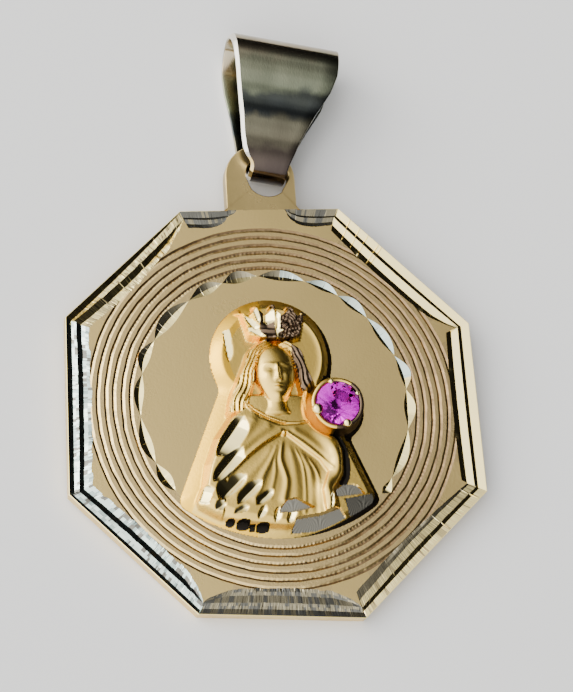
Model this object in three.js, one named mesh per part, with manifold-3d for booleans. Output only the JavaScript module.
// A religious medal pendant lying on its back, in millimetres, +Z up.
// An eight-sided gold plate with a tab carries engraved rings, bright cuts, a raised bust and a soldered collet.
// A round brilliant sits in the collet, and a folded, flared strip of gold hangs in the tab's hole as the bail.
// The plate is drawn face up with its centre at 0, 0 and its face at z = 0, and is laid down at the end.
import * as THREE from "three";
import { mergeVertices } from "three/addons/utils/BufferGeometryUtils.js";
import { ConvexGeometry } from "three/addons/geometries/ConvexGeometry.js";
import Module from "manifold-3d";

// Plate
const ACROSS_FLATS = 22;
const PLATE_THICK = 0.8;
// The hand-cut octagon is a little uneven: each corner's direction in degrees, anticlockwise from +X,
// and its reach as a share of a true octagon's. The tab stands on one side, and the medal rests on another.
const PLATE_CORNERS = [
  { turn: 22.5, reach: 0.995 },
  { turn: 69.2, reach: 0.997, starts: "tab side" },
  { turn: 112.5, reach: 0.984 },
  { turn: 156, reach: 0.996 },
  { turn: 203.1, reach: 1.004 },
  { turn: 246.8, reach: 1.004, starts: "rest side" },
  { turn: 289.1, reach: 1.014 },
  { turn: 336.4, reach: 1.012 },
];

// Engraved rings
const RING_COUNT = 6;
const RING_FIRST_RADIUS = 7.63;
const RING_PITCH = 0.43;
const RING_CUT_WIDTH = 0.26;
const RING_CUT_DEPTH = 0.12;
const RING_SEGMENTS = 64;

// Petal cuts just inside the rings
const PETAL_COUNT = 20;
const PETAL_WIDTH = 0.85;
const PETAL_DEPTH = 0.17;

// Two V cuts along the border, their middles measured inwards from the plate's edge
const BORDER_CUTS = [
  { inset: 0.5, width: 0.58 },
  { inset: 1.12, width: 0.56 },
];
const BORDER_DEPTH = 0.24;
const BORDER_RUN_OUT = 0.9;

// Tab and its drilled hole
const HOLE_DIAMETER = 2.36;
const HOLE_RISE = 1.98;
const TAB_RIM = 0.73;
const HOLE_OFFSET = { x: 0.41, y: 0.13 };

// Bust relief: its ground, which is a halo disc joined to a mantle, and the figure on it
const HALO = { x: -0.1, y: 2.5, radius: 3.3 };
const MANTLE = {
  neckY: 1.1,
  neckHalf: 2.75,
  neckRise: 1,
  baseY: -5.2,
  baseHalf: 5.35,
  bottomY: -7.2,
  bottomRadius: 8.6,
  cornerBlend: 0.5,
};
const GROUND_BLEND = 0.35;
const BUST_GROUND = 0.72;
const BUST_WALL = 0.45;
const BUST_ROOT = 0.3;
const BUST_EDGE_HEIGHT = 0.02;
const FIGURE_START = 0.5; // how far up the bust's wall the figure starts, as a share of the wall
const FIGURE_RISE = 0.45;
const HEAD = { x: 0, y: 1.35, halfWidth: 0.95, halfHeight: 1.5, rise: 0.55 };
// The features of a plain face in even proportions: places and sizes are shares of the head's half sizes.
const NOSE = { at: -0.12, halfWidth: 0.16, halfHeight: 0.22, rise: 0.12 };
const EYES = { at: 0.06, apart: 0.4, halfWidth: 0.2, halfHeight: 0.1, depth: 0.07 };
const MOUTH = { at: -0.5, halfWidth: 0.3, halfHeight: 0.06, depth: 0.05 };
const HAIR = { topY: 3.2, topHalf: 1.25, endY: -1.1, endHalf: 2.4, rise: 0.42, edge: 0.4, tuck: 0.3 };
const CROWN = {
  baseY: 2.9,
  topY: 5,
  baseHalf: 1.45,
  topHalf: 1.75,
  rise: 0.5,
  points: 5,
  pointHeight: 0.8,
  edge: 0.25,
};
const CLOAK = { topY: -0.4, topHalf: 2.5, endY: -6.2, leftHalf: 4.2, rightHalf: 3, shoulderSlope: 0.35, edge: 0.5 };
const CLOAK_OPENING = { topY: -1.9, endHalf: 2.4, depth: 0.22, edge: 0.3 };
const ROBE_FOLDS = { count: 5, depth: 0.1 };
const BUST_CENTRE = { x: 0, y: 0.6 };
const BUST_SPOKES = 76;
const BUST_RINGS = 20;
const BUST_RING_CROWDING = 1.15; // above 1, rings lie closer near the middle

// Stone and collet
const STONE_DIAMETER = 2.3;
const STONE_PLACE = { x: 2.97, y: -0.37 };
const STONE_GIRDLE_Z = 1.5;
const STONE_FACETS = 8;
const COLLET_WALL = 0.26;
const COLLET_LIP = 0.07;
const COLLET_BEVEL = 0.09;
const COLLET_TAPER = 0.11;
const SEAT_CLEARANCE = 0.06;
const PRONG_RADIUS = 0.24;
const PRONG_RISE = 0.06;
const PRONG_COUNT = 4;
const PRONG_TURN = 20;
const BOSS_MARGIN = 0.4;

// Bail: a closed band round the tab's top rim. Its sizes are of the strip's middle unless named otherwise.
const STRIP_THICK = 0.38;
const BAIL_REACH = 7.02;
const BAIL_LEAN = 9.5;
const BAIL_DROP = 0.3;
const BAIL_CLEARANCE = 0.25;
const FOLD_RADIUS = 1.4;
const FRONT_BELLY = 0.1;
const BACK_HOLLOW = 0.06;
const NECK_CLEARANCE = 0.17;
const BEND_STEPS = 20;
const FOLD_STEPS = 14;
const LEAF_STEPS = 9;
// How much wider than its neck the strip is on each side, at a height above the hinge: all are shares of the reach.
// The back leaf stands out a little further to the left than the front one.
const BAIL_OUTLINE = [
  { at: -0.103, left: 0, backLeft: 0, right: 0 },
  { at: -0.06, left: 0.032, backLeft: 0.032, right: 0.012 },
  { at: 0, left: 0.08, backLeft: 0.075, right: 0.033 },
  { at: 0.12, left: 0.11, backLeft: 0.105, right: 0.066 },
  { at: 0.35, left: 0.152, backLeft: 0.168, right: 0.161 },
  { at: 0.56, left: 0.194, backLeft: 0.238, right: 0.26 },
  { at: 0.71, left: 0.224, backLeft: 0.27, right: 0.3 },
  { at: 1, left: 0.29, backLeft: 0.29, right: 0.3 },
];

const LIFT = 0.2; // how far a cutter stands above the face that it cuts
const goldMaterial = new THREE.MeshStandardMaterial({ color: 0xc8b27a, roughness: 0.34, metalness: 1 });
const bailMaterial = new THREE.MeshStandardMaterial({ color: 0xb9ad8a, roughness: 0.18, metalness: 1 });
const stoneMaterial = new THREE.MeshStandardMaterial({ color: 0xa01bb0, roughness: 0.05, metalness: 0 });

const wasm = await Module();
wasm.setup();

const radians = THREE.MathUtils.degToRad;
const clamp = THREE.MathUtils.clamp;
const holeRadius = HOLE_DIAMETER / 2;
const tabRadius = holeRadius + TAB_RIM;
const stoneRadius = STONE_DIAMETER / 2;
const boss = { x: STONE_PLACE.x, y: STONE_PLACE.y, radius: stoneRadius + COLLET_WALL + BOSS_MARGIN };

// A geometry as a solid for cutting and joining.
function solidOf(geometry) {
  const bare = new THREE.BufferGeometry();
  bare.setAttribute("position", geometry.getAttribute("position"));
  bare.setIndex(geometry.getIndex());
  const merged = mergeVertices(bare, 1e-4);
  return new wasm.Manifold(
    new wasm.Mesh({
      numProp: 3,
      vertProperties: merged.attributes.position.array,
      triVerts: new Uint32Array(merged.index.array),
    }),
  );
}

// A solid as a named mesh with flat faces.
function meshOf(solid, name, material) {
  const made = solid.getMesh();
  const geometry = new THREE.BufferGeometry();
  geometry.setAttribute("position", new THREE.BufferAttribute(new Float32Array(made.vertProperties), 3));
  geometry.setIndex(new THREE.BufferAttribute(new Uint32Array(made.triVerts), 1));
  const flat = geometry.toNonIndexed();
  flat.computeVertexNormals();
  const mesh = new THREE.Mesh(flat, material);
  mesh.name = name;
  return mesh;
}

// A body through rows of points, each row one closed loop: the rows close on themselves, or both ends are capped.
function loft(rows, closed) {
  const sides = rows[0].length;
  const index = [];
  const spans = closed ? rows.length : rows.length - 1;
  for (let i = 0; i < spans; i++) {
    for (let j = 0; j < sides; j++) {
      const a = i * sides + j;
      const b = i * sides + ((j + 1) % sides);
      const next = ((i + 1) % rows.length) * sides;
      const c = next + j;
      const d = next + ((j + 1) % sides);
      index.push(a, b, c, b, d, c);
    }
  }
  const last = (rows.length - 1) * sides;
  for (let j = 1; !closed && j + 1 < sides; j++) {
    index.push(0, j + 1, j);
    index.push(last, last + j, last + j + 1);
  }
  const geometry = new THREE.BufferGeometry().setFromPoints(rows.flat());
  geometry.setIndex(index);
  return geometry;
}

// A profile of radius and height pairs turned round +Z.
function turned(profile, segments) {
  const points = profile.map(([radius, height]) => new THREE.Vector2(radius, height));
  return new THREE.LatheGeometry(points, segments).rotateX(Math.PI / 2);
}

function ease(t) {
  const s = clamp(t, 0, 1);
  return s * s * (3 - 2 * s);
}

// The least or greatest of two distances, rounded over a width.
function softMin(a, b, width) {
  const h = clamp(0.5 + (0.5 * (b - a)) / width, 0, 1);
  return b + (a - b) * h - width * h * (1 - h);
}

function softMax(a, b, width) {
  return -softMin(-a, -b, width);
}

// Distance from a slanted line that runs from one height and half width to another, positive outside.
function flankDistance(x, y, high, low) {
  const dx = low.half - high.half;
  const dy = low.y - high.y;
  return ((x - high.half) * -dy + (y - high.y) * dx) / Math.hypot(dx, dy);
}

// Plate
function plateCorners() {
  const reach = ACROSS_FLATS / 2 / Math.cos(Math.PI / PLATE_CORNERS.length);
  return PLATE_CORNERS.map((c) => {
    const angle = radians(c.turn);
    return new THREE.Vector2(Math.cos(angle), Math.sin(angle)).multiplyScalar(reach * c.reach);
  });
}

// The number of the corner that a named side starts at, and of the one that it ends at.
function sideEnds(name) {
  const from = PLATE_CORNERS.findIndex((corner) => corner.starts === name);
  return { from, to: (from + 1) % PLATE_CORNERS.length };
}

function inwardNormal(a, b) {
  return new THREE.Vector2(a.y - b.y, b.x - a.x).normalize();
}

function insetCorner(corners, i, inset) {
  const count = corners.length;
  const here = corners[i];
  const before = inwardNormal(corners[(i + count - 1) % count], here);
  const after = inwardNormal(here, corners[(i + 1) % count]);
  const bisector = before.clone().add(after).normalize();
  return here.clone().addScaledVector(bisector, inset / bisector.dot(before));
}

function insetOnSide(corners, x, inset) {
  const ends = sideEnds("tab side");
  const a = corners[ends.from];
  const b = corners[ends.to];
  const share = (x - a.x) / (b.x - a.x);
  return a.clone().lerp(b, share).addScaledVector(inwardNormal(a, b), inset);
}

function plateBlank(corners) {
  const blank = new THREE.ExtrudeGeometry(new THREE.Shape(corners), { depth: PLATE_THICK, bevelEnabled: false });
  return solidOf(blank.translate(0, 0, -PLATE_THICK));
}

// The tab is a round head on a straight neck that runs down into the plate.
function tabPlaces(corners) {
  const ends = sideEnds("tab side");
  const side = (corners[ends.from].y + corners[ends.to].y) / 2;
  const hole = new THREE.Vector2(HOLE_OFFSET.x, side + HOLE_RISE);
  const head = new THREE.Vector2(0, hole.y - HOLE_OFFSET.y);
  const lean = new THREE.Vector2(Math.sin(radians(BAIL_LEAN)), Math.cos(radians(BAIL_LEAN)));
  // The bar is the metal between the hole and the head's edge, where the bail goes round it.
  const offset = hole.clone().sub(head);
  const along = offset.dot(lean);
  const bar = Math.sqrt(along ** 2 + tabRadius ** 2 - offset.lengthSq()) - along - holeRadius;
  const hinge = hole.clone().addScaledVector(lean, holeRadius + bar / 2 - BAIL_DROP);
  return { side, hole, head, bar, hinge };
}

function tabBlank(places) {
  const shape = new THREE.Shape();
  const foot = places.side - tabRadius / 2;
  shape.moveTo(-tabRadius, foot);
  shape.lineTo(tabRadius, foot);
  shape.lineTo(tabRadius, places.head.y);
  shape.absarc(places.head.x, places.head.y, tabRadius, 0, Math.PI, false);
  const blank = new THREE.ExtrudeGeometry(shape, { depth: PLATE_THICK, bevelEnabled: false, curveSegments: 28 });
  return solidOf(blank.translate(0, 0, -PLATE_THICK));
}

function holeCutter(places) {
  const drill = new THREE.CylinderGeometry(holeRadius, holeRadius, PLATE_THICK + 2 * LIFT, 40);
  drill.rotateX(Math.PI / 2).translate(places.hole.x, places.hole.y, -PLATE_THICK / 2);
  return solidOf(drill);
}

// Cuts in the plate's face
function ringCutters() {
  const cutters = [];
  const half = (RING_CUT_WIDTH / 2) * (1 + LIFT / RING_CUT_DEPTH);
  for (let i = 0; i < RING_COUNT; i++) {
    const radius = RING_FIRST_RADIUS + i * RING_PITCH;
    const profile = [
      [radius, -RING_CUT_DEPTH],
      [radius + half, LIFT],
      [radius - half, LIFT],
      [radius, -RING_CUT_DEPTH],
    ];
    cutters.push(solidOf(turned(profile, RING_SEGMENTS)));
  }
  return cutters;
}

function petalCutters() {
  const cutters = [];
  const radius = RING_FIRST_RADIUS - RING_CUT_WIDTH / 2 - PETAL_WIDTH / 2;
  const halfLength = (Math.PI * radius) / PETAL_COUNT;
  for (let i = 0; i < PETAL_COUNT; i++) {
    const petal = new THREE.SphereGeometry(1, 8, 4);
    petal.scale(PETAL_WIDTH / 2, halfLength, PETAL_DEPTH);
    petal.translate(radius, 0, 0);
    petal.rotateZ((i * 2 * Math.PI) / PETAL_COUNT);
    cutters.push(solidOf(petal));
  }
  return cutters;
}

// A V cut that starts beside the tab, follows the border round every corner and ends on the tab's other side.
function borderCutter(corners, cut) {
  const places = [];
  const stop = tabRadius - cut.inset / 2;
  const full = stop + BORDER_RUN_OUT;
  const count = corners.length;
  const first = sideEnds("tab side").to;
  places.push({ at: (inset) => insetOnSide(corners, -stop, inset), raise: BORDER_DEPTH });
  places.push({ at: (inset) => insetOnSide(corners, -full, inset), raise: 0 });
  for (let i = 0; i < count; i++) {
    places.push({ at: (inset) => insetCorner(corners, (first + i) % count, inset), raise: 0 });
  }
  places.push({ at: (inset) => insetOnSide(corners, full, inset), raise: 0 });
  places.push({ at: (inset) => insetOnSide(corners, stop, inset), raise: BORDER_DEPTH });
  const half = (cut.width / 2) * (1 + LIFT / BORDER_DEPTH);
  const rows = places.map((place) => {
    const outer = place.at(cut.inset - half);
    const keel = place.at(cut.inset);
    const inner = place.at(cut.inset + half);
    return [
      new THREE.Vector3(outer.x, outer.y, LIFT + place.raise),
      new THREE.Vector3(keel.x, keel.y, place.raise - BORDER_DEPTH),
      new THREE.Vector3(inner.x, inner.y, LIFT + place.raise),
    ];
  });
  return solidOf(loft(rows, false));
}

// Bust relief
function mantleDistance(x, y) {
  const neck = { y: MANTLE.neckY, half: MANTLE.neckHalf };
  const base = { y: MANTLE.baseY, half: MANTLE.baseHalf };
  const flanks = flankDistance(Math.abs(x - HALO.x), y, neck, base);
  const bottom = Math.hypot(x - HALO.x, y - (MANTLE.bottomY + MANTLE.bottomRadius)) - MANTLE.bottomRadius;
  return Math.max(softMax(flanks, bottom, MANTLE.cornerBlend), y - MANTLE.neckY - MANTLE.neckRise);
}

function groundDistance(x, y) {
  const halo = Math.hypot(x - HALO.x, y - HALO.y) - HALO.radius;
  const seat = Math.hypot(x - boss.x, y - boss.y) - boss.radius;
  return softMin(softMin(halo, mantleDistance(x, y), GROUND_BLEND), seat, GROUND_BLEND);
}

function cloakDistance(x, y) {
  const top = { y: CLOAK.topY, half: CLOAK.topHalf };
  const end = { y: CLOAK.endY, half: x < 0 ? CLOAK.leftHalf : CLOAK.rightHalf };
  const flanks = flankDistance(Math.abs(x), y, top, end);
  const shoulders = y - CLOAK.topY - CLOAK.shoulderSlope * (CLOAK.topHalf - Math.abs(x));
  return Math.max(flanks, shoulders, CLOAK.endY - y);
}

function hairDistance(x, y) {
  const top = { y: HAIR.topY, half: HAIR.topHalf };
  const end = { y: HAIR.endY, half: HAIR.endHalf };
  return Math.max(flankDistance(Math.abs(x), y, top, end), y - HAIR.topY - HAIR.tuck, HAIR.endY - y);
}

// The crown is a band whose upper edge rises to points.
function crownDistance(x, y) {
  const base = { y: CROWN.baseY, half: CROWN.baseHalf };
  const top = { y: CROWN.topY, half: CROWN.topHalf };
  const flanks = -flankDistance(Math.abs(x), y, base, top);
  const phase = ((x + CROWN.topHalf) / (2 * CROWN.topHalf)) * (CROWN.points - 1);
  const point = Math.abs(phase - Math.round(phase)) * 2;
  const edge = y - CROWN.topY + CROWN.pointHeight * point;
  return Math.max(flanks, edge, CROWN.baseY - y);
}

// The face is a plain oval with a brow, a nose and a chin in even proportions.
function headHeight(x, y) {
  const u = (x - HEAD.x) / HEAD.halfWidth;
  const v = (y - HEAD.y) / HEAD.halfHeight;
  const oval = 1 - u * u - v * v;
  if (oval <= 0) return 0;
  const spot = (across, feature) => {
    return Math.exp(-((across / feature.halfWidth) ** 2) - ((v - feature.at) / feature.halfHeight) ** 2);
  };
  const nose = NOSE.rise * spot(u, NOSE);
  const eyes = EYES.depth * spot(Math.abs(u) - EYES.apart, EYES);
  const mouth = MOUTH.depth * spot(u, MOUTH);
  return HEAD.rise * Math.sqrt(oval) + nose - eyes - mouth;
}

function figureHeight(x, y) {
  const cloak = FIGURE_RISE * ease(-cloakDistance(x, y) / CLOAK.edge);
  const below = CLOAK_OPENING.topY - y;
  const spread = (CLOAK_OPENING.endHalf * below) / (CLOAK_OPENING.topY - CLOAK.endY);
  const opening = below > 0 ? ease((spread - Math.abs(x)) / CLOAK_OPENING.edge + 0.5) : 0;
  const folds = ROBE_FOLDS.depth * Math.cos((x * ROBE_FOLDS.count * Math.PI) / CLOAK_OPENING.endHalf);
  const robe = cloak > 0 ? cloak - opening * (CLOAK_OPENING.depth - folds) : 0;
  const hair = HAIR.rise * ease(-hairDistance(x, y) / HAIR.edge);
  const crown = CROWN.rise * ease(-crownDistance(x, y) / CROWN.edge);
  return Math.max(robe, hair, crown) + headHeight(x, y);
}

function reliefHeight(x, y) {
  const inside = -groundDistance(x, y);
  const wall = Math.sqrt(1 - (1 - clamp(inside / BUST_WALL, 0, 1)) ** 2);
  return BUST_GROUND * wall + figureHeight(x, y) * ease(inside / BUST_WALL - FIGURE_START);
}

// How far the relief reaches from its centre in a direction.
function reliefReach(angle) {
  const at = (r) => groundDistance(BUST_CENTRE.x + r * Math.cos(angle), BUST_CENTRE.y + r * Math.sin(angle));
  const step = BUST_WALL / 4;
  let low = 0;
  while (at(low + step) < 0) low += step;
  let high = low + step;
  for (let i = 0; i < 20; i++) {
    const middle = (low + high) / 2;
    if (at(middle) < 0) low = middle;
    else high = middle;
  }
  return low;
}

function bustBlank() {
  const points = [new THREE.Vector3(BUST_CENTRE.x, BUST_CENTRE.y, reliefHeight(BUST_CENTRE.x, BUST_CENTRE.y))];
  const reaches = Array.from({ length: BUST_SPOKES }, (_, j) => reliefReach((j * 2 * Math.PI) / BUST_SPOKES));
  const ring = (share, heightAt) => {
    reaches.forEach((reach, j) => {
      const angle = (j * 2 * Math.PI) / BUST_SPOKES;
      const x = BUST_CENTRE.x + share * reach * Math.cos(angle);
      const y = BUST_CENTRE.y + share * reach * Math.sin(angle);
      points.push(new THREE.Vector3(x, y, heightAt(x, y)));
    });
  };
  for (let i = 1; i <= BUST_RINGS; i++) {
    ring((i / BUST_RINGS) ** BUST_RING_CROWDING, (x, y) => Math.max(BUST_EDGE_HEIGHT, reliefHeight(x, y)));
  }
  ring(1, () => -BUST_ROOT);
  points.push(new THREE.Vector3(BUST_CENTRE.x, BUST_CENTRE.y, -BUST_ROOT));
  const index = [];
  const rows = BUST_RINGS + 1;
  for (let j = 0; j < BUST_SPOKES; j++) {
    const k = (j + 1) % BUST_SPOKES;
    index.push(0, 1 + j, 1 + k);
    for (let i = 0; i + 1 < rows; i++) {
      const near = 1 + i * BUST_SPOKES;
      const far = near + BUST_SPOKES;
      index.push(near + j, far + j, far + k, near + j, far + k, near + k);
    }
    const rim = 1 + (rows - 1) * BUST_SPOKES;
    index.push(rim + k, rim + j, points.length - 1);
  }
  const geometry = new THREE.BufferGeometry().setFromPoints(points);
  geometry.setIndex(index);
  return solidOf(geometry);
}

// Stone: a round brilliant, drawn about the middle of its girdle, with its pavilion down
function stoneGeometry(radius) {
  const rings = [
    { share: 0.54, height: 0.32, turn: 0, count: STONE_FACETS },
    { share: 0.8, height: 0.19, turn: 0.5, count: STONE_FACETS },
    { share: 1, height: 0.03, turn: 0, count: STONE_FACETS * 2 },
    { share: 1, height: -0.03, turn: 0, count: STONE_FACETS * 2 },
    { share: 0.22, height: -0.7, turn: 0.5, count: STONE_FACETS },
  ];
  const points = [new THREE.Vector3(0, 0, -0.87 * radius)];
  for (const ring of rings) {
    for (let i = 0; i < ring.count; i++) {
      const angle = ((i + ring.turn) * 2 * Math.PI) / ring.count;
      const across = radius * ring.share;
      points.push(new THREE.Vector3(across * Math.cos(angle), across * Math.sin(angle), radius * ring.height));
    }
  }
  return new ConvexGeometry(points);
}

function stonePlaced(radius) {
  return solidOf(stoneGeometry(radius).translate(STONE_PLACE.x, STONE_PLACE.y, STONE_GIRDLE_Z));
}

// Collet: a tapered cup with a bead at each corner of the stone's edge
function colletBlank() {
  const rim = stoneRadius + COLLET_WALL;
  const top = STONE_GIRDLE_Z + COLLET_LIP;
  const cup = turned(
    [
      [0, -BUST_ROOT],
      [rim - COLLET_TAPER, -BUST_ROOT],
      [rim - COLLET_TAPER, BUST_GROUND],
      [rim, STONE_GIRDLE_Z],
      [rim - COLLET_BEVEL, top],
      [0, top],
    ],
    32,
  );
  let solid = solidOf(cup.translate(STONE_PLACE.x, STONE_PLACE.y, 0));
  for (let i = 0; i < PRONG_COUNT; i++) {
    const angle = radians(PRONG_TURN) + (i * 2 * Math.PI) / PRONG_COUNT;
    const bead = new THREE.SphereGeometry(PRONG_RADIUS, 10, 7).rotateX(Math.PI / 2);
    bead.translate(
      STONE_PLACE.x + (rim - PRONG_RADIUS) * Math.cos(angle),
      STONE_PLACE.y + (rim - PRONG_RADIUS) * Math.sin(angle),
      top + PRONG_RISE,
    );
    solid = solid.add(solidOf(bead));
  }
  return solid;
}

function medalSolid(corners, places) {
  let solid = plateBlank(corners).add(tabBlank(places)).subtract(holeCutter(places));
  const cutters = [...ringCutters(), ...petalCutters(), ...BORDER_CUTS.map((cut) => borderCutter(corners, cut))];
  for (const cutter of cutters) solid = solid.subtract(cutter);
  return solid.add(bustBlank()).add(colletBlank()).subtract(stonePlaced(stoneRadius + SEAT_CLEARANCE));
}

// Bail, drawn about its hinge: x across the strip, y up the bail, z towards the medal's face
function bailSizes(places) {
  const inner = Math.hypot(PLATE_THICK / 2, places.bar / 2 + BAIL_DROP) + BAIL_CLEARANCE;
  const bend = inner + STRIP_THICK / 2;
  const span = BAIL_REACH - FOLD_RADIUS - STRIP_THICK / 2;
  return { bend, span, outer: bend + STRIP_THICK / 2, slope: Math.asin((FOLD_RADIUS - bend) / span) };
}

// The strip's middle line, once round: the bend under the bar, the back leaf, the fold and the front leaf.
function bailLine(sizes) {
  const line = [];
  const arc = (centre, radius, from, to, steps) => {
    for (let i = 0; i <= steps; i++) {
      const angle = from + ((to - from) * i) / steps;
      const out = new THREE.Vector2(Math.cos(angle), Math.sin(angle));
      line.push({ out, at: new THREE.Vector2(centre + radius * out.x, radius * out.y) });
    }
  };
  const leaf = (angle, from, to, belly) => {
    const out = new THREE.Vector2(Math.cos(angle), Math.sin(angle));
    for (let i = 1; i < LEAF_STEPS; i++) {
      const share = i / LEAF_STEPS;
      line.push({ out, at: from.clone().lerp(to, share).addScaledVector(out, belly * 4 * share * (1 - share)) });
    }
  };
  const front = Math.PI / 2 + sizes.slope;
  const back = 2 * Math.PI - front;
  const on = (centre, radius, angle) => {
    return new THREE.Vector2(centre + radius * Math.cos(angle), radius * Math.sin(angle));
  };
  arc(0, sizes.bend, front, back, BEND_STEPS);
  leaf(back, on(0, sizes.bend, back), on(sizes.span, FOLD_RADIUS, back), -BACK_HOLLOW);
  arc(sizes.span, FOLD_RADIUS, back, 2 * Math.PI + front, FOLD_STEPS);
  leaf(front, on(sizes.span, FOLD_RADIUS, front), on(0, sizes.bend, front), FRONT_BELLY);
  return line;
}

function outlineAt(height, side) {
  const at = height / BAIL_REACH;
  const rows = BAIL_OUTLINE;
  let i = 0;
  while (i < rows.length - 2 && at > rows[i + 1].at) i++;
  const share = clamp((at - rows[i].at) / (rows[i + 1].at - rows[i].at), 0, 1);
  const extra = THREE.MathUtils.lerp(rows[i][side], rows[i + 1][side], share);
  return holeRadius - NECK_CLEARANCE + extra * BAIL_REACH;
}

function bailSolid(sizes) {
  const rows = bailLine(sizes).map(({ at, out }) => {
    const left = -outlineAt(at.x, out.y < 0 ? "backLeft" : "left");
    const right = outlineAt(at.x, "right");
    const skin = at.clone().addScaledVector(out, STRIP_THICK / 2);
    const lining = at.clone().addScaledVector(out, -STRIP_THICK / 2);
    return [
      new THREE.Vector3(left, skin.x, skin.y),
      new THREE.Vector3(left, lining.x, lining.y),
      new THREE.Vector3(right, lining.x, lining.y),
      new THREE.Vector3(right, skin.x, skin.y),
    ];
  });
  return solidOf(loft(rows, true));
}

// The medal lies on its bottom side and, through the bar, on the bail. The bail's back leaf is a little hollow, so that
// it stands on both of its ends.
function pendant() {
  const corners = plateCorners();
  const places = tabPlaces(corners);
  const sizes = bailSizes(places);
  const ends = sideEnds("rest side");
  const rest = corners[ends.from];
  const restLine = corners[ends.to].clone().sub(rest).normalize();
  const arm = restLine.cross(places.hinge.clone().sub(rest));
  const tilt = Math.asin((sizes.outer - PLATE_THICK / 2) / arm);

  const medal = new THREE.Group();
  medal.add(meshOf(medalSolid(corners, places), "medal", goldMaterial));
  medal.add(meshOf(stonePlaced(stoneRadius), "stone", stoneMaterial));
  medal.quaternion.setFromAxisAngle(new THREE.Vector3(restLine.x, restLine.y, 0), tilt);

  const bail = new THREE.Group();
  bail.position.set(places.hinge.x, places.hinge.y, -PLATE_THICK / 2).applyQuaternion(medal.quaternion);
  bail.rotation.z = -radians(BAIL_LEAN);
  const strip = meshOf(bailSolid(sizes), "bail", bailMaterial);
  strip.rotation.x = sizes.slope;
  bail.add(strip);

  const laid = new THREE.Group();
  laid.add(medal, bail);
  const box = new THREE.Box3().setFromObject(laid, true);
  laid.position.set(-(box.min.x + box.max.x) / 2, -(box.min.y + box.max.y) / 2, -box.min.z);
  const whole = new THREE.Group();
  whole.add(laid);
  return whole;
}

export default pendant();
